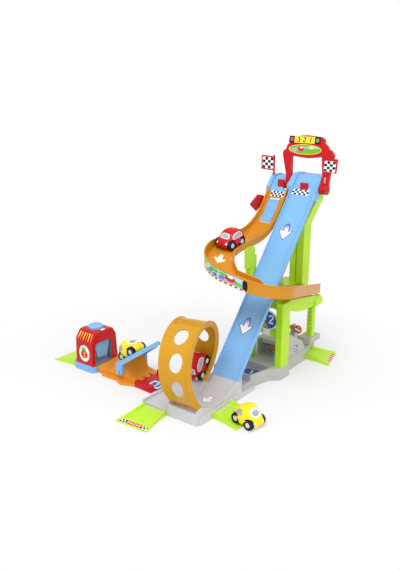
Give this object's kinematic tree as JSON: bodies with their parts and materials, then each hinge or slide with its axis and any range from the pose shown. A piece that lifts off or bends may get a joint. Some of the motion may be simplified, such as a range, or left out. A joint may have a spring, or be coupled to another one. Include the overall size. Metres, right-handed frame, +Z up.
{
  "type": "toy race tower",
  "caption": "Toy race tower: steep blue slide and banked orange spiral from a start gate, a loop, a tipping bridge with push-button launcher, a parking garage and little cars.",
  "frame": {"origin": "on the floor, under the middle of the steep slide, where the front and rear base sections meet", "axes": "+Z up, +Y from the loop back towards the tower, +X across the slide to the right"},
  "size_m": [0.7541, 0.7804, 0.6853],
  "materials": {
    "base_grey": "satin",
    "rear_grey": "satin",
    "sky_blue": "gloss",
    "orange": "gloss",
    "loop_amber": "gloss",
    "lime": "gloss",
    "red": "gloss",
    "yellow": "gloss",
    "tyre_black": "matt",
    "steel": "brushed",
    "slate": "satin",
    "sign_white": "gloss"
  },
  "bodies": {
    "tower": {"barrier_post": "rear_grey", "base_front": "base_grey", "base_rear": "rear_grey", "bridge_base": "orange", "bridge_pin": "steel", "button_spring": "steel", "corner_block": "rear_grey", "cross_beam": "lime", "finish_ramp": "lime", "front_arch": "lime", "front_column": "lime", "garage": "rear_grey", "kicker_axle": "steel", "launcher_base": "sky_blue", "launcher_floor": "slate", "launcher_housing": "red", "launcher_ramp": "lime", "left_flag": "sign_white", "left_post": "lime", "loop_front_half": "loop_amber", "loop_rear_half": "loop_amber", "parking_sign": "sign_white", "rear_post": "lime", "rear_ramp": "lime", "red_connector": "red", "right_post": "lime", "screws": "steel", "side_beam": "lime", "side_ramp": "lime", "slide_lower": "sky_blue", "slide_upper": "sky_blue", "spiral_curve": "orange", "spiral_exit_lane": "orange", "spiral_upper_lane": "orange", "start_platform": "sky_blue", "tower_column": "lime", "upper_deck": "lime"},
    "start_arch": {"start_arch": "red", "light_board": "sign_white", "right_flag": "sign_white", "arch_shaft": "steel"},
    "stopper": {"stopper_bar": "red"},
    "trapdoor": {"trapdoor_flap": "sky_blue", "trapdoor_lever": "red"},
    "bridge": {"tipping_bridge": "sky_blue"},
    "button": {"launch_button": "sky_blue"},
    "kicker": {"kicker": "sky_blue"},
    "barrier": {"barrier_arm": "orange"},
    "spiral_car": {"spiral_car_shell": "red"},
    "spiral_car_front_axle": {"spiral_car_front_wheels": "tyre_black"},
    "spiral_car_rear_axle": {"spiral_car_rear_wheels": "tyre_black"},
    "loop_car": {"loop_car_shell": "red"},
    "loop_car_front_axle": {"loop_car_front_wheels": "tyre_black"},
    "loop_car_rear_axle": {"loop_car_rear_wheels": "tyre_black"},
    "bridge_car": {"bridge_car_shell": "yellow"},
    "bridge_car_front_axle": {"bridge_car_front_wheels": "tyre_black"},
    "bridge_car_rear_axle": {"bridge_car_rear_wheels": "tyre_black"},
    "floor_car": {"floor_car_shell": "yellow"},
    "floor_car_front_axle": {"floor_car_front_wheels": "tyre_black"},
    "floor_car_rear_axle": {"floor_car_rear_wheels": "tyre_black"}
  },
  "joints": [
    {"name": "start_arch_tilt", "type": "hinge", "parent": "tower", "child": "start_arch", "pos_m": [0, 0.346, 0.53], "axis": [1, 0, 0], "range_deg": [0, 22]},
    {"name": "stopper_drop", "type": "slide", "parent": "tower", "child": "stopper", "axis": [0, 0, -1], "range_m": [0, 0.018]},
    {"name": "trapdoor_turn", "type": "hinge", "parent": "tower", "child": "trapdoor", "pos_m": [-0.095, 0.306, 0.4865], "axis": [1, 0, 0], "range_deg": [0, 45], "stiffness_Nm_per_rad": 0.05, "springref_deg": -28.65},
    {"name": "bridge_lift", "type": "hinge", "parent": "tower", "child": "bridge", "pos_m": [-0.292, -0.146, 0.031], "axis": [0, -1, 0], "range_deg": [0, 18]},
    {"name": "button_press", "type": "slide", "parent": "tower", "child": "button", "axis": [0, 0, -1], "range_m": [0, 0.01], "stiffness_N_per_m": 300, "springref_m": -0.004, "deforming": ["button_spring"]},
    {"name": "kicker_swing", "type": "hinge", "parent": "tower", "child": "kicker", "pos_m": [-0.404, -0.1545, 0.085], "axis": [0, -1, 0], "range_deg": [0, 28]},
    {"name": "barrier_swing", "type": "hinge", "parent": "tower", "child": "barrier", "pos_m": [0.038, 0.219, 0.122], "axis": [0, -1, 0], "range_deg": [0, 80]},
    {"name": "spiral_car_lift", "type": "slide", "parent": "tower", "child": "spiral_car", "axis": [0.0701, -0.1537, 0.9856], "range_m": [0, 0.06]},
    {"name": "spiral_car_front_roll", "type": "hinge", "parent": "spiral_car", "child": "spiral_car_front_axle", "pos_m": [-0.09217, 0.04311, 0.39928], "axis": [0.9921, -0.0925, -0.085], "continuous": true},
    {"name": "spiral_car_rear_roll", "type": "hinge", "parent": "spiral_car", "child": "spiral_car_rear_axle", "pos_m": [-0.08779, 0.08443, 0.40541], "axis": [0.9921, -0.0925, -0.085], "continuous": true},
    {"name": "loop_car_lift", "type": "slide", "parent": "tower", "child": "loop_car", "axis": [0.0504, -0.8437, 0.5344], "range_m": [0, 0.06]},
    {"name": "loop_car_front_roll", "type": "hinge", "parent": "loop_car", "child": "loop_car_front_axle", "pos_m": [-0.08192, -0.11413, 0.05702], "axis": [0.9982, 0.0596, 0], "continuous": true},
    {"name": "loop_car_rear_roll", "type": "hinge", "parent": "loop_car", "child": "loop_car_rear_axle", "pos_m": [-0.08326, -0.09172, 0.09252], "axis": [0.9982, 0.0596, 0], "continuous": true},
    {"name": "bridge_car_lift", "type": "slide", "parent": "bridge", "child": "bridge_car", "axis": [-0.5534, 0, 0.8329], "range_m": [0, 0.045]},
    {"name": "bridge_car_front_roll", "type": "hinge", "parent": "bridge_car", "child": "bridge_car_front_axle", "pos_m": [-0.27249, -0.146, 0.09061], "axis": [0, 1, 0], "continuous": true},
    {"name": "bridge_car_rear_roll", "type": "hinge", "parent": "bridge_car", "child": "bridge_car_rear_axle", "pos_m": [-0.30747, -0.146, 0.06737], "axis": [0, 1, 0], "continuous": true},
    {"name": "floor_car_lift", "type": "slide", "parent": "tower", "child": "floor_car", "axis": [0.1148, -0.0161, 0.9933], "range_m": [0, 0.06]},
    {"name": "floor_car_front_roll", "type": "hinge", "parent": "floor_car", "child": "floor_car_front_axle", "pos_m": [0.16452, -0.18154, 0.01472], "axis": [0.1392, 0.9903, 0], "continuous": true},
    {"name": "floor_car_rear_roll", "type": "hinge", "parent": "floor_car", "child": "floor_car_rear_axle", "pos_m": [0.12321, -0.17573, 0.01959], "axis": [0.1392, 0.9903, 0], "continuous": true}
  ],
  "couplings": [
    {"joint": "stopper_drop", "follows": "start_arch_tilt", "m_per_rad": 0.0468},
    {"joint": "kicker_swing", "follows": "button_press", "rad_per_m": 48.8}
  ]
}
